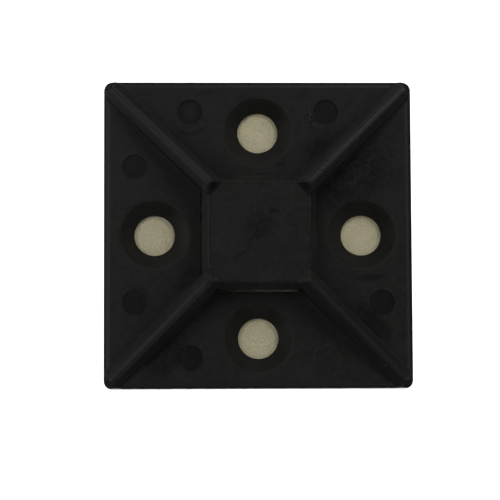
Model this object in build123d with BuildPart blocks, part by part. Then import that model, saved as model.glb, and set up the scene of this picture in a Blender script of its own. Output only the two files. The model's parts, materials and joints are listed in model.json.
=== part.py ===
from build123d import *
import math
import os

# A four-way cable tie mount: a moulded square plate with four countersunk screw holes, whose four
# diagonal ribs carry a raised bridge that ties are threaded under, on a pad of adhesive foam tape.
# Millimetres. The origin is on the surface that it stands on, under its centre, and +Z is up.

# Base plate
plate_width = 38.1
plate_thickness = 2.2
plate_corner_radius = 1.05
plate_edge_round = 0.85

# Adhesive tape under the plate, and the paper that covers it until it is stuck down
pad_inset = 0.4
pad_thickness = 1.1
pad_corner_radius = 1.2
liner_thickness = 0.12

# Countersunk screw holes, one in the middle of each side
screw_circle_diameter = 25.6
screw_hole_diameter = 5.0
countersink_diameter = 8.3
countersink_angle = 90.0

# Bridge over the tie passage: a slab with an upright rim, from which steep skirts lead up to its
# flat top. The passage's height is taken from the tape to the slab. Its opening in the plate is a
# little wider than the bridge, for the mould's core.
bridge_width = 14.0
bridge_thickness = 1.6
bridge_rim_height = 0.5
bridge_rim_round = 0.3
bridge_skirt_run = 0.75
bridge_crest_round = 0.35
passage_height = 4.3
passage_margin = 0.1

# Diagonal ribs: a wall with a gabled, round-shouldered top that climbs from the corner to the bridge
rib_thickness = 2.5
rib_root_radius = 0.15
rib_ridge_round = 0.7
rib_shoulder_round = 0.3
rib_rise_over_plate = 1.3
rib_rise_over_bridge = 1.15
rib_peak_inset = 0.9
rib_inner_run = 1.3
rib_outer_run = 1.0
rib_end_round = 1.2
rib_end_inset = 0.15
rib_crest_round = 0.3
rib_draft_angle = 1.0
gable_angle = 45.0

# Marks of the ejector pins, two beside each screw hole. Two of the pins stood a little proud.
pin_mark_diameter = 3.0
pin_mark_side = 8.4
pin_mark_reach = 15.25
pin_mark_depth = 0.1
pin_mark_height = 0.05

# Mark of the gate in the middle of the bridge, where the nylon came in
gate_mark_diameter = 1.9
gate_mark_depth = 0.05
gate_stub_diameter = 0.7
gate_stub_height = 0.05
gate_offset = 0.5

# Heights
plate_bottom = liner_thickness + pad_thickness
plate_top = plate_bottom + plate_thickness
bridge_bottom = plate_bottom + passage_height
bridge_top = bridge_bottom + bridge_thickness
bridge_skirt_drop = bridge_thickness - bridge_rim_height
ridge_outer_height = plate_top + rib_rise_over_plate
ridge_inner_height = bridge_top + rib_rise_over_bridge

# Distances from the centre along a diagonal
corner_cut = plate_corner_radius * (math.sqrt(2) - 1)
corner_reach = plate_width / math.sqrt(2) - corner_cut
ridge_outer_reach = corner_reach - rib_outer_run
ridge_inner_reach = (bridge_width / 2 - rib_peak_inset) * math.sqrt(2)
leg_reach = ridge_inner_reach - rib_inner_run
ridge_slope = (ridge_inner_height - ridge_outer_height) / (ridge_outer_reach - ridge_inner_reach)
ridge_height_at_centre = ridge_inner_height + ridge_slope * ridge_inner_reach

# Across a rib, the wall leans in by the draft above its root
wall_lean = math.tan(math.radians(rib_draft_angle))
rib_foot = rib_thickness / 2
root_top = plate_top + rib_root_radius
root_top_half = rib_foot - wall_lean * rib_root_radius
wall_top_half = rib_foot - wall_lean * (ridge_height_at_centre - plate_top)
root_half = rib_foot + rib_root_radius
passage_width = bridge_width + passage_margin * 2
leg_length = passage_width / math.sqrt(2) - leg_reach
rib_end_width = plate_width - rib_end_inset * 2

# Outlines that shape a rib reach this far, which is past the whole part
overrun = plate_width
gable_drop = overrun * math.tan(math.radians(gable_angle))

# The pins' places, four on each pair of sides
pin_places = [
    (side_x * across, side_y * along)
    for across, along in ((pin_mark_side, pin_mark_reach), (pin_mark_reach, pin_mark_side))
    for side_x in (-1, 1)
    for side_y in (-1, 1)
]
proud_pins = [(pin_mark_reach, pin_mark_side), (pin_mark_side, -pin_mark_reach)]
sunk_pins = [place for place in pin_places if place not in proud_pins]

# One rib, drawn along +X and turned onto the diagonals later
with BuildPart() as rib:
    # The wall's section, with its rounded root
    with BuildSketch(Plane.YZ):
        with BuildLine():
            Polyline(
                (root_top_half, root_top),
                (wall_top_half, ridge_height_at_centre),
                (-wall_top_half, ridge_height_at_centre),
                (-root_top_half, root_top),
            )
            RadiusArc((-root_top_half, root_top), (-root_half, plate_top), rib_root_radius)
            Polyline(
                (-root_half, plate_top),
                (-root_half, plate_bottom),
                (root_half, plate_bottom),
                (root_half, plate_top),
            )
            RadiusArc((root_half, plate_top), (root_top_half, root_top), rib_root_radius)
        make_face()
    extrude(amount=overrun)
    # Seen from the side: a leg under the bridge, the climbing ridge and a slope at each end
    with BuildSketch(Plane.XZ) as side:
        with BuildLine():
            Polyline(
                (leg_reach, plate_bottom),
                (leg_reach, bridge_top),
                (ridge_inner_reach, ridge_inner_height),
                (ridge_outer_reach, ridge_outer_height),
                (corner_reach, plate_top - plate_edge_round),
                (corner_reach, plate_bottom),
                close=True,
            )
        make_face()
        fillet(side.vertices().sort_by(Axis.X)[-3], radius=rib_end_round)
    extrude(amount=overrun, both=True, mode=Mode.INTERSECT)
    # The gable's two slopes follow the ridge
    with BuildSketch(Plane.YZ) as gable:
        with BuildLine():
            Polyline(
                (0, ridge_height_at_centre),
                (overrun, ridge_height_at_centre - gable_drop),
                (overrun, -overrun),
                (-overrun, -overrun),
                (-overrun, ridge_height_at_centre - gable_drop),
                close=True,
            )
        make_face()
        fillet(gable.vertices().sort_by(Axis.Y)[-1], radius=rib_ridge_round)
    extrude(amount=overrun, dir=(1, 0, -ridge_slope), mode=Mode.INTERSECT)
    # Just inside the plate's outline the rib's outer end is cut off
    with BuildSketch(Plane.XY.offset(plate_bottom)):
        RectangleRounded(rib_end_width, rib_end_width, plate_corner_radius - rib_end_inset, rotation=45)
    extrude(amount=ridge_height_at_centre, mode=Mode.INTERSECT)
    # The shoulders, where the gable's slopes meet the walls, are rounded along the whole rib
    sloping_lines = rib.edges().filter_by(GeomType.LINE).filter_by(Axis.X, reverse=True)
    fillet(sloping_lines.sort_by(SortBy.LENGTH)[-4:].sort_by(Axis.Z)[:2], radius=rib_shoulder_round)
    # The crests of the inner slope are a little rounded
    inner_slope = rib.faces().sort_by(Axis.Z)[-1]
    fillet(inner_slope.edges().sort_by(Axis.Z)[-5:], radius=rib_crest_round)

# The bridge's slab, its crests rounded for the cables and its rim for the ties
with BuildPart() as slab:
    with BuildSketch(Plane.XY.offset(bridge_bottom)):
        Rectangle(bridge_width, bridge_width)
    extrude(amount=bridge_thickness)
    slab_top = slab.faces().sort_by(Axis.Z)[-1]
    chamfer(slab_top.edges(), length=bridge_skirt_run, length2=bridge_skirt_drop, reference=slab_top)
    fillet(slab.faces().sort_by(Axis.Z)[-1].edges(), radius=bridge_crest_round)
    rim_faces = slab.faces().sort_by(Axis.Z)[1:5]
    fillet(rim_faces.edges().filter_by(Axis.Z, reverse=True), radius=bridge_rim_round)

with BuildPart() as mount_body:
    with BuildSketch(Plane.XY.offset(plate_bottom)):
        RectangleRounded(plate_width, plate_width, plate_corner_radius)
    extrude(amount=plate_thickness)
    fillet(mount_body.faces().sort_by(Axis.Z)[-1].edges(), radius=plate_edge_round)
    with PolarLocations(0, 4, start_angle=45):
        add(rib.part)
    # The passage under the bridge opens through the plate, between the ribs' legs
    with BuildSketch(Plane.XY.offset(plate_bottom)):
        Rectangle(passage_width, passage_width)
        with PolarLocations(leg_reach + leg_length, 4, start_angle=45):
            Rectangle(leg_length * 2, rib_thickness, mode=Mode.SUBTRACT)
    extrude(amount=passage_height, mode=Mode.SUBTRACT)
    add(slab.part)
    # Screw holes
    with Locations(Plane.XY.offset(plate_top)):
        with PolarLocations(screw_circle_diameter / 2, 4):
            CounterSinkHole(
                radius=screw_hole_diameter / 2,
                counter_sink_radius=countersink_diameter / 2,
                depth=plate_thickness,
                counter_sink_angle=countersink_angle,
            )
    # Marks of the sunk pins and of the two proud ones
    with BuildSketch(Plane.XY.offset(plate_top)):
        with Locations(*sunk_pins):
            Circle(pin_mark_diameter / 2)
    extrude(amount=-pin_mark_depth, mode=Mode.SUBTRACT)
    with BuildSketch(Plane.XY.offset(plate_top)):
        with Locations(*proud_pins):
            Circle(pin_mark_diameter / 2)
    extrude(amount=pin_mark_height)
    # Mark of the gate, with the stub that was left when it broke off
    with BuildSketch(Plane.XY.offset(bridge_top)):
        with Locations((0, gate_offset)):
            Circle(gate_mark_diameter / 2)
            Circle(gate_stub_diameter / 2, mode=Mode.SUBTRACT)
    extrude(amount=-gate_mark_depth, mode=Mode.SUBTRACT)
    with BuildSketch(Plane.XY.offset(bridge_top)):
        with Locations((0, gate_offset)):
            Circle(gate_stub_diameter / 2)
    extrude(amount=gate_stub_height)

pad_width = plate_width - pad_inset * 2

with BuildPart() as foam_pad:
    with BuildSketch(Plane.XY.offset(liner_thickness)):
        RectangleRounded(pad_width, pad_width, pad_corner_radius)
    extrude(amount=pad_thickness)

with BuildPart() as release_liner:
    with BuildSketch(Plane.XY):
        RectangleRounded(pad_width, pad_width, pad_corner_radius)
    extrude(amount=liner_thickness)

os.makedirs("parts", exist_ok=True)

mount_body.part.label = "mount_body"
export_step(mount_body.part, "parts/mount_body.step")

foam_pad.part.label = "foam_pad"
export_step(foam_pad.part, "parts/foam_pad.step")

release_liner.part.label = "release_liner"
export_step(release_liner.part, "parts/release_liner.step")
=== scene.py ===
"""The looks of a four-way cable tie mount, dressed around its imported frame.

The moulded nylon body and the release paper keep their solids and get finishes of their own. The foam
tape between them is modelled here, with its cut sides and the low crowns that rise where nothing
presses on it. Everything is in metres, in the frame of the solids: +Z is up through the bridge. The
finishes work in millimetres, and their marks are placed as seen from above.
"""

import json
import logging
import math
from dataclasses import dataclass, field
from enum import Enum
from functools import reduce

import bmesh
import bpy
from mathutils import Euler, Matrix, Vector, noise

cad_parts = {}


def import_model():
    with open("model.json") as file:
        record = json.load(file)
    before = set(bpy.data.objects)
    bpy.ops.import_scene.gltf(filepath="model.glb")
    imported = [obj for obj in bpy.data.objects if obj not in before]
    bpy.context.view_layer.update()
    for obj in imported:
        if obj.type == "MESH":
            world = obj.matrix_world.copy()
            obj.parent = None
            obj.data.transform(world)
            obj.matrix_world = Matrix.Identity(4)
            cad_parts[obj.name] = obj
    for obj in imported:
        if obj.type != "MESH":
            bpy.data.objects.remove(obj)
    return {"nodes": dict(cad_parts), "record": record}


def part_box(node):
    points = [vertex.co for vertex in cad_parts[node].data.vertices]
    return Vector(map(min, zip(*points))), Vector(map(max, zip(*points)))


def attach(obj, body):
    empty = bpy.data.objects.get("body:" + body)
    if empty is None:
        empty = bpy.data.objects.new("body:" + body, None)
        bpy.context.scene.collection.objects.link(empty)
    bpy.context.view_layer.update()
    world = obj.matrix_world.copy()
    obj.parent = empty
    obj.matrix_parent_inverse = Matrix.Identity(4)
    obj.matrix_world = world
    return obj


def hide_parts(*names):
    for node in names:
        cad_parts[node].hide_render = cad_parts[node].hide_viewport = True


MM = 0.001
DIAGONAL = math.sqrt(0.5)
NOISE_MIDDLE = 0.5

Triple = tuple[float, float, float]
Colour = Triple
Place = tuple[float, float]
Band = tuple[float, float]
Rows = list[list[bmesh.types.BMVert]]

log = logging.getLogger("cable_tie_mount")


class Operation(Enum):
    """What a Math node works out."""

    ADD = "ADD"
    SUBTRACT = "SUBTRACT"
    MULTIPLY = "MULTIPLY"
    ABSOLUTE = "ABSOLUTE"
    MINIMUM = "MINIMUM"
    MAXIMUM = "MAXIMUM"


class VectorOperation(Enum):
    """What a Vector Math node works out. The last three give a number."""

    ADD = "ADD"
    SUBTRACT = "SUBTRACT"
    MULTIPLY = "MULTIPLY"
    MULTIPLY_ADD = "MULTIPLY_ADD"
    DISTANCE = "DISTANCE"
    LENGTH = "LENGTH"
    DOT_PRODUCT = "DOT_PRODUCT"


class Value:
    """A number that varies over a surface: a socket that Python's operators turn into Math nodes."""

    def __init__(self, shader: "Shader", socket: bpy.types.NodeSocket) -> None:
        """Wraps a socket.

        Args:
            shader: The shader that the socket belongs to.
            socket: An output socket of one of its nodes.
        """
        self.shader = shader
        self.socket = socket

    def __add__(self, other: "Value | float") -> "Value":
        """self + other."""
        return self.shader.math(Operation.ADD, self, other)

    __radd__ = __add__

    def __sub__(self, other: "Value | float") -> "Value":
        """self - other."""
        return self.shader.math(Operation.SUBTRACT, self, other)

    def __rsub__(self, other: "Value | float") -> "Value":
        """other - self."""
        return self.shader.math(Operation.SUBTRACT, other, self)

    def __mul__(self, other: "Value | float") -> "Value":
        """self * other."""
        return self.shader.math(Operation.MULTIPLY, self, other)

    __rmul__ = __mul__

    def __abs__(self) -> "Value":
        """The size of self without its sign."""
        return self.shader.math(Operation.ABSOLUTE, self)

    def lowest(self, other: "Value | float") -> "Value":
        """The lower of self and other."""
        return self.shader.math(Operation.MINIMUM, self, other)

    def highest(self, other: "Value | float") -> "Value":
        """The higher of self and other."""
        return self.shader.math(Operation.MAXIMUM, self, other)

    def held(self) -> "Value":
        """Self, held between 0 and 1."""
        return self.highest(0.0).lowest(1.0)

    def ramp(self, start: float, end: float) -> "Value":
        """Rises smoothly from 0 where self is start to 1 where it is end.

        Args:
            start: The value at which the result leaves 0.
            end: The value at which it reaches 1. It may be lower than start.

        Returns:
            The smooth step, held between 0 and 1.
        """
        node = self.shader.add(
            "ShaderNodeMapRange",
            {"interpolation_type": "SMOOTHSTEP", "clamp": True},
            {"Value": self, "From Min": start, "From Max": end, "To Min": 0.0, "To Max": 1.0},
        )
        return Value(self.shader, node.outputs["Result"])


@dataclass(frozen=True)
class Patch:
    """An oval area with a soft outline. Lengths are in millimetres, and the turn is in degrees.

    The core is the share of the area that has the full strength.
    """

    centre: Place
    length: float
    width: float
    turn: float = 0.0
    strength: float = 1.0
    core: float = 0.35


@dataclass(frozen=True)
class Stroke:
    """A thin mark along a few straight stretches, in millimetres."""

    points: tuple[Place, ...]
    width: float


@dataclass(frozen=True)
class Grain:
    """Cloudy variation: its largest clouds' width in millimetres, and its finer layers."""

    size: float
    layers: float = 2.0
    rough: float = 0.5


@dataclass(frozen=True)
class Breakup:
    """How a mark is broken up: it shows where a noise passes through a band, at a strength."""

    band: Band
    strength: float = 1.0

    def over(self, cloud: Value) -> Value:
        """Gives the mark's strength over a noise."""
        return cloud.ramp(*self.band) * self.strength


class Shader:
    """A material's node tree, built by expressions and by one method that adds any node.

    The Mix node's sockets for colours share their names with others, so they go by number.
    """

    MIX_COLOURS = (6, 7)
    MIX_RESULT = 2
    WANDER_LAYERS = 2.0
    STROKE_CORE = 0.25

    def __init__(self, name: str) -> None:
        """Makes an empty material with a Principled shader in it.

        Args:
            name: The material's name.
        """
        self.material = bpy.data.materials.new(name)
        self.material.use_nodes = True
        self.tree = self.material.node_tree
        self.tree.nodes.clear()
        self.surface = self.add("ShaderNodeBsdfPrincipled")
        self.add("ShaderNodeOutputMaterial", {}, {"Surface": self.surface.outputs["BSDF"]})

    def add(
        self,
        kind: str,
        settings: dict[str, object] | None = None,
        inputs: dict[str | int, object] | None = None,
    ) -> bpy.types.Node:
        """Adds a node, sets it up and then fills its sockets.

        Args:
            kind: The node's type.
            settings: Its properties, set before its sockets.
            inputs: Values, sockets or plain numbers and colours, by socket name or index.

        Returns:
            The new node.
        """
        node = self.tree.nodes.new(kind)
        for key, setting in (settings or {}).items():
            setattr(node, key, setting)
        self.fill(node, inputs or {})
        return node

    def fill(self, node: bpy.types.Node, inputs: dict[str | int, object]) -> None:
        """Fills a node's sockets.

        Args:
            node: The node.
            inputs: Values, sockets or plain numbers and colours, by socket name or index.
        """
        for key, source in inputs.items():
            socket = node.inputs[key]
            if isinstance(source, Value):
                source = source.socket
            if isinstance(source, bpy.types.NodeSocket):
                self.tree.links.new(source, socket)
            else:
                socket.default_value = (*source, 1.0) if socket.type == "RGBA" else source

    def math(self, operation: Operation, *terms: Value | float) -> Value:
        """Adds a Math node.

        Args:
            operation: What it works out.
            terms: Its inputs, in order.

        Returns:
            Its result.
        """
        node = self.add("ShaderNodeMath", {"operation": operation.value}, dict(enumerate(terms)))
        return Value(self, node.outputs[0])

    def vector(self, operation: VectorOperation, *terms: object) -> bpy.types.NodeSocket:
        """Adds a Vector Math node that gives a vector.

        Args:
            operation: What it works out.
            terms: Its inputs, in order.

        Returns:
            Its vector.
        """
        settings = {"operation": operation.value}
        return self.add("ShaderNodeVectorMath", settings, dict(enumerate(terms))).outputs["Vector"]

    def measure(self, operation: VectorOperation, *terms: object) -> Value:
        """Adds a Vector Math node that gives a number.

        Args:
            operation: What it works out.
            terms: Its inputs, in order.

        Returns:
            Its number.
        """
        settings = {"operation": operation.value}
        node = self.add("ShaderNodeVectorMath", settings, dict(enumerate(terms)))
        return Value(self, node.outputs["Value"])

    def mix(self, factor: Value, first: object, second: object) -> bpy.types.NodeSocket:
        """Blends two colours.

        Args:
            factor: 0 gives the first colour and 1 the second.
            first: A colour or a colour socket.
            second: A colour or a colour socket.

        Returns:
            The blended colour.
        """
        colours = dict(zip(self.MIX_COLOURS, (first, second)))
        node = self.add("ShaderNodeMix", {"data_type": "RGBA"}, {"Factor": factor, **colours})
        return node.outputs[self.MIX_RESULT]

    def millimetres(self) -> bpy.types.NodeSocket:
        """Gives the place on the object, in millimetres from its origin."""
        place = self.add("ShaderNodeTexCoord").outputs["Object"]
        return self.vector(VectorOperation.MULTIPLY, place, (1 / MM, 1 / MM, 1 / MM))

    def plan(self, place: bpy.types.NodeSocket) -> bpy.types.NodeSocket:
        """Gives a place as seen from above, with no height."""
        return self.vector(VectorOperation.MULTIPLY, place, (1.0, 1.0, 0.0))

    def parts(self, vector: bpy.types.NodeSocket) -> tuple[Value, Value, Value]:
        """Splits a vector into its three numbers."""
        node = self.add("ShaderNodeSeparateXYZ", {}, {0: vector})
        return tuple(Value(self, output) for output in node.outputs)

    def join(self, x: Value, y: Value) -> bpy.types.NodeSocket:
        """Makes a vector with no height."""
        return self.add("ShaderNodeCombineXYZ", {}, {0: x, 1: y}).outputs[0]

    def stretch(
        self, vector: bpy.types.NodeSocket, scale: Triple, turn: float = 0.0
    ) -> bpy.types.NodeSocket:
        """Turns a vector about Z and then scales it along each axis.

        Args:
            vector: The vector to change.
            scale: Its three factors.
            turn: The angle about Z, in degrees.

        Returns:
            The changed vector.
        """
        turned = self.add(
            "ShaderNodeVectorRotate",
            {"rotation_type": "Z_AXIS"},
            {"Vector": vector, "Angle": math.radians(turn)},
        )
        return self.vector(VectorOperation.MULTIPLY, turned.outputs[0], scale)

    def wander(self, plan: bpy.types.NodeSocket, amount: float, size: float) -> bpy.types.NodeSocket:
        """Moves places about a little, so that what is drawn with them isn't ruler-straight.

        Args:
            plan: The place as seen from above.
            amount: How far it is moved, in millimetres.
            size: The distance over which the move changes, in millimetres.

        Returns:
            The moved place.
        """
        clouds = {"Vector": plan, "Scale": 1 / size, "Detail": self.WANDER_LAYERS}
        cloud = self.add("ShaderNodeTexNoise", {}, clouds)
        scale = (2 * amount, 2 * amount, 0.0)
        shift = (-amount, -amount, 0.0)
        move = self.vector(VectorOperation.MULTIPLY_ADD, cloud.outputs["Color"], scale, shift)
        return self.vector(VectorOperation.ADD, plan, move)

    def reach(self, plan: bpy.types.NodeSocket, centre: Place | bpy.types.NodeSocket) -> Value:
        """The distance between two places as seen from above.

        Args:
            plan: The first place.
            centre: The second: a place, or a socket with one.

        Returns:
            The distance.
        """
        if isinstance(centre, tuple):
            centre = (*centre, 0.0)
        return self.measure(VectorOperation.DISTANCE, plan, centre)

    def patch(self, plan: bpy.types.NodeSocket, patch: Patch) -> Value:
        """Gives the patch's strength within its area, falling to 0 at its outline.

        Args:
            plan: The place as seen from above.
            patch: The area.

        Returns:
            The mask.
        """
        moved = self.vector(VectorOperation.SUBTRACT, plan, (*patch.centre, 0.0))
        scaled = self.stretch(moved, (2 / patch.length, 2 / patch.width, 0.0), -patch.turn)
        return self.measure(VectorOperation.LENGTH, scaled).ramp(1.0, patch.core) * patch.strength

    def patches(self, plan: bpy.types.NodeSocket, patches: tuple[Patch, ...]) -> Value:
        """Gives the strongest of several areas' masks."""
        return strongest(*(self.patch(plan, patch) for patch in patches))

    def stroke(self, plan: bpy.types.NodeSocket, stroke: Stroke) -> Value:
        """Gives 1 along a thin mark, and 0 beside it.

        Args:
            plan: The place as seen from above.
            stroke: The mark.

        Returns:
            The mask.
        """
        distances = []
        for start, end in zip(stroke.points, stroke.points[1:]):
            run = Vector(end) - Vector(start)
            away = self.vector(VectorOperation.SUBTRACT, plan, (*start, 0.0))
            unit = (*(run / run.length_squared), 0.0)
            share = self.measure(VectorOperation.DOT_PRODUCT, away, unit).held()
            foot = self.vector(VectorOperation.MULTIPLY_ADD, share, (*run, 0.0), (*start, 0.0))
            distances.append(self.reach(plan, foot))
        return reduce(Value.lowest, distances).ramp(stroke.width, stroke.width * self.STROKE_CORE)

    def noise(self, place: bpy.types.NodeSocket, grain: Grain) -> Value:
        """Gives cloudy variation from 0 to 1, mostly near one half.

        Args:
            place: The place on the object, in millimetres.
            grain: The clouds' size and layers.

        Returns:
            The noise.
        """
        clouds = {"Scale": 1 / grain.size, "Detail": grain.layers, "Roughness": grain.rough}
        return Value(self, self.add("ShaderNodeTexNoise", {}, {"Vector": place, **clouds}).outputs[0])

    def cells(self, place: bpy.types.NodeSocket, size: float) -> Value:
        """Gives the distance to the middle of the nearest cell in a pattern of cells.

        Args:
            place: The place on the object, in millimetres.
            size: A cell's width, in millimetres.

        Returns:
            The distance, in cells.
        """
        node = self.add("ShaderNodeTexVoronoi", {"feature": "F1"}, {"Vector": place, "Scale": 1 / size})
        return Value(self, node.outputs["Distance"])

    def bump(self, height: Value) -> bpy.types.NodeSocket:
        """Turns a height in millimetres into a normal."""
        return self.add("ShaderNodeBump", {}, {"Height": height, "Distance": MM}).outputs["Normal"]

    def dress(self, inputs: dict[str, object]) -> bpy.types.Material:
        """Fills the Principled shader's sockets.

        Args:
            inputs: Values, sockets, numbers or colours by socket name.

        Returns:
            The finished material.
        """
        self.fill(self.surface, inputs)
        return self.material


def strongest(*masks: Value) -> Value:
    """Gives the highest of several masks at each place."""
    return reduce(Value.highest, masks)


@dataclass(frozen=True)
class MouldedNylon:
    """Black nylon, satin and finely mottled, with the marks that the mould and handling left, and some
    painted shade and highlight.

    Lengths are in millimetres. Places are seen from above, and heights are over the liner's lower face.
    A pair of numbers is a band: where a mark starts to show, and where it shows in full.
    """

    # The colours, and how the noises blend them.
    black: Colour = (0.0100, 0.0097, 0.0092)
    haze: Colour = (0.0146, 0.0142, 0.0135)
    haze_band: Band = (0.30, 0.70)
    cloud_share: float = 0.35
    # The dark marks' colour, also painted as shade on two hips and where the ribs shade the plate.
    soot_and_shade: Colour = (0.0040, 0.0039, 0.0038)
    # The pale marks' colour, also painted as a highlight on the ribs' tips.
    chalk_and_highlight: Colour = (0.0360, 0.0350, 0.0340)
    chalk_and_highlight_strength: float = 0.8

    # How dull the surface is, and what the noises and marks add to that or take off.
    gloss: float = 0.125
    roughness: float = 0.42
    cloud_roughness: float = 0.03
    mottle_roughness: float = 0.30
    dark_polish: float = 0.12
    ridge_roughness: float = 0.05
    ridge_polish: float = 0.17
    ridge_dulling: float = 0.15
    crest_roughness: float = 0.12

    # The noises, and how far hand-drawn marks stray.
    clouds: Grain = Grain(size=5.0, layers=4.0, rough=0.6)
    cloud_band: Band = (0.35, 0.70)
    mottle: Grain = Grain(size=0.60, layers=3.0, rough=0.65)
    mottle_depth: float = 0.008
    grain: Grain = Grain(size=0.17, layers=2.0, rough=0.6)
    grain_depth: float = 0.004
    specks: Grain = Grain(size=0.24, layers=1.0)
    stray: float = 0.22
    stray_size: float = 1.1

    # The countersinks' soft mouths.
    hole_reach: float = 12.8
    mouth_edges: Band = (4.15, 4.50)
    mouth_fall: float = 0.030

    # The ejector pins: sunk ones are dark, proud ones have a pale ring, and one has an arc beside it.
    pin_side: float = 8.4
    pin_reach: float = 15.25
    pin_radius: float = 1.5
    pin_edge: float = 0.12
    pin_strength: float = 0.6
    proud_pins: tuple[Place, ...] = ((15.25, 8.4), (8.4, -15.25))
    proud_edges: Band = (1.5, 3.0)
    ring_gap: float = 0.1
    ring_edges: Band = (0.22, 0.05)
    ring_wear: Breakup = Breakup((0.40, 0.60), 0.25)
    worn_pin: Patch = Patch(centre=(-8.4, 15.25), length=2.6, width=2.6, strength=0.6)
    arc_radius: float = 2.7
    arc_edges: Band = (0.35, 0.05)
    arc_area: Patch = Patch(centre=(-7.9, 12.9), length=4.2, width=3.0, turn=15.0, core=0.7)
    arc_strength: float = 0.5

    # The blotch round the gate's stub, torn in its darker mottle.
    gate: Patch = Patch(centre=(0.1, 0.7), length=5.4, width=4.2, turn=20.0)
    gate_strength: float = 0.28
    torn_band: Band = (0.56, 0.42)
    torn_strength: float = 0.42
    torn_depth: float = 0.005

    # Scratches and nicks.
    scratches: tuple[Stroke, ...] = (
        Stroke(((-0.4, -0.2), (-1.15, -0.9), (-1.1, -1.8), (-1.9, -2.5), (-3.0, -3.3)), width=0.20),
        Stroke(((0.0, -0.4), (0.8, -0.5)), width=0.24),
        Stroke(((-15.0, -6.4), (-14.2, -6.7), (-13.4, -8.0)), width=0.26),
        Stroke(((0.1, 5.8), (0.9, 5.8)), width=0.18),
        Stroke(((2.3, 8.75), (3.4, 8.7)), width=0.28),
    )
    scratch_wear: Breakup = Breakup((0.42, 0.58), 0.75)
    pale_scratch: Stroke = Stroke(((11.6, 8.7), (12.1, 7.2), (12.3, 5.6)), width=0.16)
    pale_scratch_wear: Breakup = Breakup((0.36, 0.56), 0.3)
    nicks: tuple[Place, ...] = ((15.5, -16.3), (-5.3, -5.8))
    nick_edges: Band = (0.16, 0.08)

    # Smudges, partly dark mottles and partly painted shade where the ribs shade the plate; they leave
    # the ribs clean.
    smudges_and_shade: tuple[Patch, ...] = (
        Patch(centre=(14.1, -10.6), length=7.4, width=3.0, turn=-48.0, strength=0.6),
        Patch(centre=(14.0, -5.3), length=5.0, width=1.1, turn=8.0, strength=0.6),
        Patch(centre=(-11.4, -15.2), length=9.5, width=5.6, turn=42.0, strength=0.65),
        Patch(centre=(-8.8, -5.5), length=5.0, width=2.8, turn=50.0, strength=0.5),
        Patch(centre=(1.7, 2.6), length=1.6, width=1.0, strength=0.6),
        Patch(centre=(11.6, 6.9), length=14.5, width=8.4, turn=32.0, strength=0.5),
        Patch(centre=(7.4, 10.9), length=6.5, width=3.8, turn=40.0, strength=0.45),
        Patch(centre=(-14.6, -7.6), length=4.4, width=2.4, turn=-50.0, strength=0.35),
    )
    smudge_and_shade_evenness: float = 0.72
    smudge_and_shade_band: Band = (0.66, 0.36)

    # Scuffed places, with dark pits and pale chips.
    scuffs: tuple[Patch, ...] = (
        Patch(centre=(6.7, 14.4), length=3.4, width=2.0, turn=100.0),
        Patch(centre=(11.4, 7.4), length=11.0, width=6.0, turn=38.0, strength=0.55),
        Patch(centre=(13.4, 8.6), length=3.6, width=1.6, turn=75.0, strength=0.9),
        Patch(centre=(7.3, 7.2), length=4.6, width=0.9, turn=45.0, strength=0.8),
        Patch(centre=(17.8, 17.8), length=2.6, width=2.0, turn=-45.0),
        Patch(centre=(-17.9, -17.9), length=2.4, width=1.6, turn=-45.0, strength=0.8),
        Patch(centre=(17.9, -17.9), length=2.4, width=1.6, turn=45.0, strength=0.8),
    )
    pit_wear: Breakup = Breakup((0.50, 0.36), 0.8)
    chip_wear: Breakup = Breakup((0.59, 0.70))

    # The ribs, from their ridge outward: where they start, the painted highlight on their tips and
    # their round shoulders.
    rib_start: Band = (8.4, 9.0)
    rib_edges: Band = (1.50, 1.10)
    ridge_edges: Band = (0.75, 0.30)
    polished_ridge: Patch = Patch(centre=(13.5, 13.5), length=26.0, width=3.0, turn=45.0, core=0.9)
    dull_ridge: Patch = Patch(centre=(13.5, -13.5), length=26.0, width=3.0, turn=-45.0, core=0.9)
    dull_strength: float = 0.5
    tip_highlight_start: Band = (25.1, 25.7)
    tip_highlight_breakup: Breakup = Breakup((0.38, 0.60), 0.8)
    shoulder_edges: Band = (0.50, 1.25)
    shoulder_end: Band = (26.0, 20.0)
    shoulder_heights: Band = (3.5, 3.9)
    shoulder_fall: float = 0.10

    # The bridge: painted shade on two hip slopes of the northern ribs, and its crests, darker and
    # duller in mottle.
    shaded_inner_slopes: tuple[Patch, ...] = (
        Patch(centre=(-5.6, 5.6), length=3.0, width=1.5, turn=45.0),
        Patch(centre=(5.6, 5.6), length=3.0, width=1.5, turn=-45.0),
    )
    shaded_slope_heights: Band = (7.12, 7.27)
    crest_reach: float = 6.2
    crest_edges: Band = (0.4, 0.1)
    crest_heights: Band = (6.72, 7.02)
    crest_breakup: Breakup = Breakup((0.62, 0.45), 0.7)

    def material(self) -> bpy.types.Material:
        """Builds the finish.

        Returns:
            The nylon's material.
        """
        shader = Shader("moulded_nylon")
        marks = NylonMarks(self, shader)
        dark = marks.dark()
        return shader.dress(
            {
                "Base Color": marks.colour(dark),
                "Roughness": marks.roughness(dark),
                "Specular IOR Level": self.gloss,
                "Normal": shader.bump(marks.relief()),
            }
        )


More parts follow.
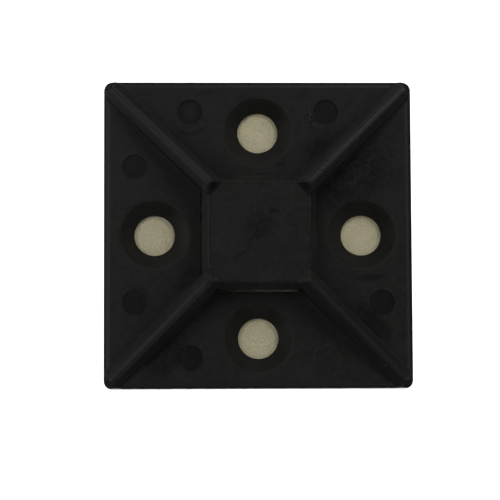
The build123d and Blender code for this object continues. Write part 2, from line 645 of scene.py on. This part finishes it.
class NylonMarks:
    """Draws what the mould and handling left on the nylon, with some painted shade and a painted
    highlight.

    The mould's layout has eight mirrored parts, so what repeats is drawn once, on the plan folded onto
    one of them.
    """

    def __init__(self, finish: MouldedNylon, shader: Shader) -> None:
        """Works out the places, the noises and the masks that several marks are drawn with.

        Args:
            finish: The marks' places, sizes and strengths.
            shader: The shader that they are drawn in.
        """
        self.finish = finish
        self.shader = shader
        place = shader.millimetres()
        self.plan = shader.plan(place)
        self.strayed = shader.wander(self.plan, finish.stray, finish.stray_size)
        x, y, self.height = shader.parts(place)
        side_x = abs(x)
        side_y = abs(y)
        far = side_x.highest(side_y)
        near = side_x.lowest(side_y)
        self.folded = shader.join(far, near)
        self.across = (far - near) * DIAGONAL
        self.outward = (far + near) * DIAGONAL

        self.clouds = shader.noise(place, finish.clouds).ramp(*finish.cloud_band)
        self.mottle = shader.noise(place, finish.mottle)
        self.grain = shader.noise(place, finish.grain)
        self.specks = shader.noise(place, finish.specks)

        self.on_rib = self.outward.ramp(*finish.rib_start)
        self.ridge = self.on_rib * self.across.ramp(*finish.ridge_edges)
        self.dulling = shader.patch(self.plan, finish.dull_ridge)
        crest_line = abs(far - finish.crest_reach).ramp(*finish.crest_edges)
        self.crest = crest_line * self.height.ramp(*finish.crest_heights)
        self.gate = shader.patch(self.strayed, finish.gate)
        self.torn = self.gate * self.mottle.ramp(*finish.torn_band)
        self.scuffs = shader.patches(self.strayed, finish.scuffs)

    def pins(self) -> Value:
        """Finds the flat ends that the sunk ejector pins left.

        Returns:
            1 on them and 0 elsewhere, and less on the worn one.
        """
        finish = self.finish
        distance = self.shader.reach(self.folded, (finish.pin_reach, finish.pin_side))
        marks = distance.ramp(finish.pin_radius + finish.pin_edge, finish.pin_radius)
        for place in finish.proud_pins:
            marks = marks.lowest(self.shader.reach(self.plan, place).ramp(*finish.proud_edges))
        return marks * (1 - self.shader.patch(self.plan, finish.worn_pin))

    def rings(self) -> Value:
        """Finds the pale rings round the proud pins.

        Returns:
            1 on them and 0 elsewhere.
        """
        finish = self.finish
        distances = [self.shader.reach(self.strayed, place) for place in finish.proud_pins]
        away = reduce(Value.lowest, distances) - (finish.pin_radius + finish.ring_gap)
        return abs(away).ramp(*finish.ring_edges)

    def arc(self) -> Value:
        """Finds the arc beside the worn pin.

        Returns:
            1 on it and 0 elsewhere.
        """
        finish = self.finish
        distance = self.shader.reach(self.strayed, (-finish.pin_side, finish.pin_reach))
        line = abs(distance - finish.arc_radius).ramp(*finish.arc_edges)
        return line * self.shader.patch(self.plan, finish.arc_area)

    def smudges_and_shade(self) -> Value:
        """Finds the smudges and the painted shade where the ribs shade the plate, with the ribs left
        out.

        Returns:
            Their strength at each place.
        """
        finish = self.finish
        off_rib = 1 - self.on_rib * self.across.ramp(*finish.rib_edges)
        uneven = (1 - finish.smudge_and_shade_evenness) * self.mottle.ramp(*finish.smudge_and_shade_band)
        areas = self.shader.patches(self.strayed, finish.smudges_and_shade)
        return areas * off_rib * (finish.smudge_and_shade_evenness + uneven)

    def dark(self) -> Value:
        """Gives the strength of the marks that are darker than the nylon round them, and of the painted
        shade.

        Returns:
            The strongest of them at each place.
        """
        finish = self.finish
        shader = self.shader
        scratches = strongest(*(shader.stroke(self.strayed, stroke) for stroke in finish.scratches))
        slope_shade = shader.patches(self.plan, finish.shaded_inner_slopes)
        return strongest(
            scratches * finish.scratch_wear.over(self.mottle),
            self.arc() * finish.arc_strength,
            self.gate * finish.gate_strength,
            self.torn * finish.torn_strength,
            self.scuffs * finish.pit_wear.over(self.specks),
            # Smudges, partly painted shade where the ribs shade the plate.
            self.smudges_and_shade(),
            self.pins() * finish.pin_strength,
            # Painted shade on the northern ribs' inner hip slopes.
            slope_shade * self.height.ramp(*finish.shaded_slope_heights),
            self.crest * finish.crest_breakup.over(self.mottle),
            self.ridge * self.dulling * finish.dull_strength,
        )

    def pale(self) -> Value:
        """Gives the strength of the marks that are paler than the nylon round them, and of the painted
        highlight on the ribs' tips.

        Returns:
            The strongest of them at each place.
        """
        finish = self.finish
        shader = self.shader
        pale_scratch = shader.stroke(self.strayed, finish.pale_scratch)
        return strongest(
            self.scuffs * finish.chip_wear.over(self.specks),
            self.rings() * finish.ring_wear.over(self.mottle),
            pale_scratch * finish.pale_scratch_wear.over(self.mottle),
            # Painted highlight on the ribs' tips near the corners, broken up by the mottle.
            self.outward.ramp(*finish.tip_highlight_start) * finish.tip_highlight_breakup.over(self.mottle),
            *(shader.reach(self.plan, nick).ramp(*finish.nick_edges) for nick in finish.nicks),
        )

    def colour(self, dark: Value) -> bpy.types.NodeSocket:
        """Blends the nylon's colours.

        Args:
            dark: The strength of the dark marks.

        Returns:
            The colour.
        """
        finish = self.finish
        fine = self.mottle.ramp(*finish.haze_band)
        haze = self.clouds * finish.cloud_share + fine * (1 - finish.cloud_share)
        colour = self.shader.mix(haze, finish.black, finish.haze)
        colour = self.shader.mix(dark, colour, finish.soot_and_shade)
        return self.shader.mix(self.pale() * finish.chalk_and_highlight_strength, colour, finish.chalk_and_highlight)

    def roughness(self, dark: Value) -> Value:
        """Works out how dull the nylon is.

        Args:
            dark: The strength of the dark marks.

        Returns:
            The roughness.
        """
        finish = self.finish
        polish = finish.ridge_polish * self.shader.patch(self.plan, finish.polished_ridge)
        on_ridge = finish.ridge_roughness - polish + finish.ridge_dulling * self.dulling
        return (
            finish.roughness
            + finish.cloud_roughness * (self.clouds - NOISE_MIDDLE)
            + finish.mottle_roughness * (self.mottle - NOISE_MIDDLE)
            - finish.dark_polish * dark
            + self.ridge * on_ridge
            + finish.crest_roughness * self.crest
        )

    def relief(self) -> Value:
        """Works out the fine relief: mottle, grain, soft mouths, round shoulders and the torn gate.

        Returns:
            The height over the solid, in millimetres.
        """
        finish = self.finish
        mouth = self.shader.reach(self.folded, (finish.hole_reach, 0.0)).ramp(*finish.mouth_edges)
        shoulder = self.on_rib * self.across.ramp(*finish.shoulder_edges)
        along = self.height.ramp(*finish.shoulder_heights) * self.outward.ramp(*finish.shoulder_end)
        return (
            self.grain * finish.grain_depth
            + self.mottle * finish.mottle_depth
            + mouth * finish.mouth_fall
            - self.torn * finish.torn_depth
            - shoulder * along * finish.shoulder_fall
        )


@dataclass(frozen=True)
class FoamTape:
    """Cream closed-cell foam with a skin of adhesive on its faces. Lengths are in millimetres."""

    cream: Colour = (0.555, 0.505, 0.335)
    shade: Colour = (0.455, 0.410, 0.265)
    roughness: float = 0.72
    cloud_roughness: float = 0.12
    clouds: Grain = Grain(size=1.4, layers=3.0)
    cell_size: float = 0.16
    cell_edges: Band = (0.55, 0.15)
    cell_depth: float = 0.05
    cell_share: float = 0.6

    def material(self) -> bpy.types.Material:
        """Builds the finish.

        Returns:
            The foam's material.
        """
        shader = Shader("foam_tape")
        place = shader.millimetres()
        clouds = shader.noise(place, self.clouds)
        pits = shader.cells(place, self.cell_size).ramp(*self.cell_edges)
        # The cells' pits are painted darker, as shade in the hollows that the bump sinks; the clouds
        # vary the tone at random.
        shading = pits * self.cell_share + clouds * (1 - self.cell_share)
        return shader.dress(
            {
                "Base Color": shader.mix(shading, self.cream, self.shade),
                "Roughness": self.roughness + self.cloud_roughness * (clouds - NOISE_MIDDLE),
                "Normal": shader.bump((1 - pits) * self.cell_depth),
            }
        )


@dataclass(frozen=True)
class ReleasePaper:
    """Glazed release paper, with its fibres showing faintly. Lengths are in millimetres."""

    white: Colour = (0.80, 0.78, 0.70)
    fibre: Colour = (0.70, 0.67, 0.58)
    fibre_band: Band = (0.38, 0.66)
    fibre_share: float = 0.6
    fibre_depth: float = 0.01
    fibre_turn: float = 12.0
    fibre_squeeze: Triple = (1.0, 5.0, 1.0)
    fibres: Grain = Grain(size=0.8, layers=4.0, rough=0.7)
    clouds: Grain = Grain(size=3.0, layers=3.0)
    roughness: float = 0.42
    fibre_roughness: float = 0.14

    def material(self) -> bpy.types.Material:
        """Builds the finish.

        Returns:
            The paper's material.
        """
        shader = Shader("release_paper")
        place = shader.millimetres()
        fibres = shader.noise(shader.stretch(place, self.fibre_squeeze, self.fibre_turn), self.fibres)
        clouds = shader.noise(place, self.clouds)
        shading = fibres * self.fibre_share + clouds * (1 - self.fibre_share)
        return shader.dress(
            {
                "Base Color": shader.mix(shading.ramp(*self.fibre_band), self.white, self.fibre),
                "Roughness": self.roughness + self.fibre_roughness * (fibres - NOISE_MIDDLE),
                "Normal": shader.bump(fibres * self.fibre_depth),
            }
        )


@dataclass(frozen=True)
class StudioWhite:
    """The plain pale floor, as white as the paper that a cut-out stands on."""

    white: Colour = (0.86, 0.86, 0.86)
    glow: Colour = (1.0, 1.0, 1.0)
    glow_strength: float = 1.0
    roughness: float = 0.9
    gloss: float = 0.1

    def material(self) -> bpy.types.Material:
        """Builds the finish.

        Returns:
            The floor's material.
        """
        return Shader("studio_white").dress(
            {
                "Base Color": self.white,
                "Roughness": self.roughness,
                "Specular IOR Level": self.gloss,
                "Emission Color": self.glow,
                "Emission Strength": self.glow_strength,
            }
        )


@dataclass
class MountBody:
    """The moulded body: plate, ribs and bridge in one. It keeps its solid and gets its finish."""

    node: bpy.types.Object
    finish: MouldedNylon = field(default_factory=MouldedNylon)

    def build(self) -> bpy.types.Object:
        """Dresses the body.

        Returns:
            The dressed node.
        """
        self.node.data.materials[0] = self.finish.material()
        log.info("dressed %s in moulded nylon", self.node.name)
        return self.node


@dataclass
class ReleaseLiner:
    """The paper under the tape. It keeps its solid and gets its finish."""

    node: bpy.types.Object
    finish: ReleasePaper = field(default_factory=ReleasePaper)

    def build(self) -> bpy.types.Object:
        """Dresses the liner.

        Returns:
            The dressed node.
        """
        self.node.data.materials[0] = self.finish.material()
        log.info("dressed %s in release paper", self.node.name)
        return self.node


@dataclass
class FoamPad:
    """The foam tape, die-cut to a rounded square. Lengths are in metres."""

    record: dict
    finish: FoamTape = field(default_factory=FoamTape)
    corner_radius: float = 1.2 * MM
    spacing: float = 0.36 * MM
    edge_spacing: float = 0.12 * MM
    side_rows: int = 9
    hole_crown: float = 0.07 * MM
    passage_crown: float = 0.05 * MM
    waist: float = 0.06 * MM
    raggedness: float = 0.07 * MM
    raggedness_size: float = 0.7 * MM
    sharp_angle: float = 50.0

    def __post_init__(self) -> None:
        """Reads the pad's box and what leaves it uncovered from the frame."""
        self.low, self.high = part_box("foam_pad")
        self.half = self.high.x
        mounts = {mount["name"]: mount for mount in self.record["mounts"]}
        holes = mounts["screw_holes"]["dims"]
        self.hole_radius = holes["hole_r_mm"] * MM
        reach = holes["pcd_mm"] * MM / 2
        self.holes = [(reach, 0.0), (0.0, reach), (-reach, 0.0), (0.0, -reach)]
        self.passages = [opening["box_m"][1][:2] for opening in self.record["physics"]["openings"]]

    def lines(self) -> list[float]:
        """Places the grid's lines along a side, closer together near its ends.

        Returns:
            Distances from the middle, rising from one side to the other.
        """
        inner = self.half - self.corner_radius
        count = round(inner / self.spacing)
        middle = [inner * step / count for step in range(-count, count + 1)]
        end_count = round(self.corner_radius / self.edge_spacing)
        ends = [inner + self.corner_radius * step / end_count for step in range(1, end_count + 1)]
        return [-end for end in reversed(ends)] + middle + ends

    def rounded(self, x: float, y: float) -> Place:
        """Moves a point of a square grid so that the grid's outline gets round corners.

        Args:
            x: The point's place across.
            y: The point's place along.

        Returns:
            The moved point.
        """
        inner = self.half - self.corner_radius
        across = (abs(x) - inner) / self.corner_radius
        along = (abs(y) - inner) / self.corner_radius
        if across <= 0 or along <= 0:
            return x, y
        new_across = across * math.sqrt(1 - along**2 / 2)
        new_along = along * math.sqrt(1 - across**2 / 2)
        return (
            math.copysign(inner + new_across * self.corner_radius, x),
            math.copysign(inner + new_along * self.corner_radius, y),
        )

    def crown(self, x: float, y: float) -> float:
        """Works out how far the foam rises at a place, in the screw holes and in the passage.

        Args:
            x: The place along X.
            y: The place along Y.

        Returns:
            The rise over the pad's flat face.
        """
        rise = 0.0
        for hole_x, hole_y in self.holes:
            share = math.hypot(x - hole_x, y - hole_y) / self.hole_radius
            if share < 1:
                rise = max(rise, self.hole_crown * (1 - share**2) ** 2)
        for half_x, half_y in self.passages:
            if abs(x) < half_x and abs(y) < half_y:
                fall = (1 - (x / half_x) ** 4) * (1 - (y / half_y) ** 4)
                rise = max(rise, self.passage_crown * fall)
        return rise

    def side_push(self, x: float, y: float, z: float) -> float:
        """Works out how far the cut side stands out from its outline: in at the waist, and ragged.

        Args:
            x: The place along X.
            y: The place along Y.
            z: The height.

        Returns:
            The distance outward.
        """
        share = (z - self.low.z) / (self.high.z - self.low.z)
        rough = noise.noise(Vector((x, y, z)) / self.raggedness_size)
        return (self.raggedness * rough - self.waist) * math.sin(math.pi * share)

    def add_face_points(self, grid: bmesh.types.BMesh, level: float, crowned: bool) -> Rows:
        """Adds the points of the upper or the lower face.

        Args:
            grid: The mesh that they are added to.
            level: Their height.
            crowned: Whether the face rises where nothing presses on it.

        Returns:
            The points, row by row.
        """
        rows = []
        for y in self.lines():
            row = []
            for x in self.lines():
                place = self.rounded(x, y)
                rise = self.crown(*place) if crowned else 0.0
                row.append(grid.verts.new((*place, level + rise)))
            rows.append(row)
        return rows

    def add_side(self, grid: bmesh.types.BMesh, lower: Rows, upper: Rows) -> None:
        """Adds the cut side between the two faces' rims, row by row.

        Args:
            grid: The mesh that it is added to.
            lower: The lower face's points.
            upper: The upper face's points.
        """
        last = len(lower) - 1
        rim = (
            [(0, j) for j in range(last)]
            + [(i, last) for i in range(last)]
            + [(last, j) for j in range(last, 0, -1)]
            + [(i, 0) for i in range(last, 0, -1)]
        )
        feet = [lower[i][j] for i, j in rim]
        rows = [feet]
        for step in range(1, self.side_rows):
            z = self.low.z + (self.high.z - self.low.z) * (step / self.side_rows)
            row = []
            for foot in feet:
                outward = Vector((foot.co.x, foot.co.y, 0.0)).normalized()
                place = foot.co + outward * self.side_push(foot.co.x, foot.co.y, z)
                row.append(grid.verts.new((place.x, place.y, z)))
            rows.append(row)
        rows.append([upper[i][j] for i, j in rim])
        for below, above in zip(rows, rows[1:]):
            for k in range(len(rim)):
                after = (k + 1) % len(rim)
                grid.faces.new((below[k], below[after], above[after], above[k]))

    def mesh(self) -> bpy.types.Mesh:
        """Builds the closed mesh: two faces on one grid, joined by the cut side.

        Returns:
            The new mesh.
        """
        grid = bmesh.new()
        lower = self.add_face_points(grid, self.low.z, crowned=False)
        upper = self.add_face_points(grid, self.high.z, crowned=True)
        for i in range(len(lower) - 1):
            for j in range(len(lower) - 1):
                grid.faces.new((upper[i][j], upper[i][j + 1], upper[i + 1][j + 1], upper[i + 1][j]))
                grid.faces.new((lower[i][j], lower[i + 1][j], lower[i + 1][j + 1], lower[i][j + 1]))
        self.add_side(grid, lower, upper)
        bmesh.ops.recalc_face_normals(grid, faces=grid.faces)
        mesh = bpy.data.meshes.new("foam_tape_pad")
        grid.to_mesh(mesh)
        grid.free()
        mesh.shade_smooth()
        mesh.set_sharp_from_angle(angle=math.radians(self.sharp_angle))
        return mesh

    def build(self) -> bpy.types.Object:
        """Builds the pad, and puts it in the place of its plain solid.

        Returns:
            The pad.
        """
        pad = bpy.data.objects.new("foam_tape_pad", self.mesh())
        bpy.context.scene.collection.objects.link(pad)
        pad.data.materials.append(self.finish.material())
        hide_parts("foam_pad")
        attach(pad, "root")
        log.info("built %s with %d faces", pad.name, len(pad.data.polygons))
        return pad


@dataclass(frozen=True)
class Softbox:
    """A square softbox that faces the object.

    Its place is given by a compass angle from +Y towards +X and a height angle, in degrees. Its power
    is in watts, and its lengths are in metres.
    """

    name: str
    compass: float
    height: float
    power: float
    distance: float = 0.45
    width: float = 0.25

    def build(self) -> bpy.types.Object:
        """Places the light.

        Returns:
            The light.
        """
        light = bpy.data.lights.new(self.name, "AREA")
        light.shape = "SQUARE"
        light.size = self.width
        light.energy = self.power
        softbox = bpy.data.objects.new(self.name, light)
        compass = math.radians(self.compass)
        height = math.radians(self.height)
        level = math.cos(height)
        away = Vector((math.sin(compass) * level, math.cos(compass) * level, math.sin(height)))
        softbox.location = away * self.distance
        softbox.rotation_mode = "QUATERNION"
        softbox.rotation_quaternion = away.to_track_quat("Z", "Y")
        softbox.visible_camera = False
        bpy.context.scene.collection.objects.link(softbox)
        log.info("placed %s", self.name)
        return softbox


@dataclass
class Studio:
    """The white floor, the white surroundings and the softboxes round the object.

    The camera sees the floor and the surroundings, but they neither light the object nor show in its
    gloss, because the photo's white background lights nothing. The floor lies a hair above the liner's
    lower face, and one softbox stands below it, so that the underside can be looked at from below.
    """

    floor_width: float = 3.0
    floor_rise: float = 0.01 * MM
    sky: Colour = (1.0, 1.0, 1.0)
    sky_strength: float = 1.0
    softboxes: tuple[Softbox, ...] = (
        Softbox("low_north_softbox", compass=22.5, height=8.0, power=0.11),
        Softbox("north_softbox", compass=22.5, height=42.0, power=0.65),
        Softbox("low_north_east_softbox", compass=67.5, height=8.0, power=0.06),
        Softbox("north_east_softbox", compass=67.5, height=42.0, power=0.25),
        Softbox("east_softbox", compass=90.0, height=42.0, power=0.22),
        Softbox("low_east_softbox", compass=112.5, height=8.0, power=0.07),
        Softbox("south_softbox", compass=157.5, height=42.0, power=0.30),
        Softbox("low_south_softbox", compass=180.0, height=8.0, power=0.09),
        Softbox("low_south_west_softbox", compass=247.5, height=8.0, power=0.19),
        Softbox("low_west_softbox", compass=270.0, height=8.0, power=0.21),
        Softbox("west_softbox", compass=270.0, height=42.0, power=0.40),
        Softbox("low_north_west_softbox", compass=292.5, height=8.0, power=0.18),
        Softbox("high_north_west_softbox", compass=292.5, height=62.0, power=0.32),
        Softbox("low_north_by_west_softbox", compass=337.5, height=8.0, power=0.19),
        Softbox("underside_softbox", compass=180.0, height=-60.0, power=2.0),
    )
    finish: StudioWhite = field(default_factory=StudioWhite)

    def build_floor(self) -> bpy.types.Object:
        """Builds the floor.

        Returns:
            The floor.
        """
        half = self.floor_width / 2
        corners = [(-half, -half, 0), (half, -half, 0), (half, half, 0), (-half, half, 0)]
        mesh = bpy.data.meshes.new("floor")
        mesh.from_pydata(corners, [], [(0, 1, 2, 3)])
        floor = bpy.data.objects.new("floor", mesh)
        floor.location.z = self.floor_rise
        bpy.context.scene.collection.objects.link(floor)
        floor.data.materials.append(self.finish.material())
        floor.visible_diffuse = floor.visible_glossy = False
        log.info("built the floor")
        return floor

    def build_surroundings(self) -> bpy.types.World:
        """Makes the surroundings.

        Returns:
            The world.
        """
        world = bpy.data.worlds.new("pale_surroundings")
        world.use_nodes = True
        background = world.node_tree.nodes["Background"]
        background.inputs["Color"].default_value = (*self.sky, 1.0)
        background.inputs["Strength"].default_value = self.sky_strength
        world.cycles_visibility.diffuse = world.cycles_visibility.glossy = False
        bpy.context.scene.world = world
        log.info("made the surroundings")
        return world

    def build(self) -> None:
        """Builds the floor, the surroundings and the lights."""
        self.build_floor()
        self.build_surroundings()
        for softbox in self.softboxes:
            softbox.build()


@dataclass(frozen=True)
class PhotoCamera:
    """The camera, at the photo's viewing angle. Its turn is in degrees and its lens in millimetres."""

    place: Triple = (-8.72 * MM, -23.91 * MM, 262.0 * MM)
    turn: Triple = (4.864, -1.682, -0.251)
    lens: float = 151.65
    nearest: float = 0.01

    def build(self) -> bpy.types.Object:
        """Makes the camera and sets it as the scene's own.

        Returns:
            The camera.
        """
        data = bpy.data.cameras.new("photo_camera")
        data.lens = self.lens
        data.clip_start = self.nearest
        camera = bpy.data.objects.new("photo_camera", data)
        camera.location = self.place
        camera.rotation_euler = Euler([math.radians(angle) for angle in self.turn], "XYZ")
        bpy.context.scene.collection.objects.link(camera)
        bpy.context.scene.camera = camera
        log.info("placed the camera")
        return camera


def set_colours() -> None:
    """Shows the light as it is, with no film curve."""
    view = bpy.context.scene.view_settings
    view.view_transform = "Standard"
    view.look = "None"
    view.exposure = 0.0
    view.gamma = 1.0


def main(frame: dict) -> None:
    """Builds the pieces in order around the frame.
    """
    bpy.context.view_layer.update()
    nodes = frame["nodes"]
    MountBody(nodes["mount_body"]).build()
    FoamPad(frame["record"]).build()
    ReleaseLiner(nodes["release_liner"]).build()
    Studio().build()
    PhotoCamera().build()
    set_colours()
    bpy.context.view_layer.update()


if __name__ == "__main__":
    logging.basicConfig(level=logging.INFO, format="%(name)s: %(message)s")
    main(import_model())
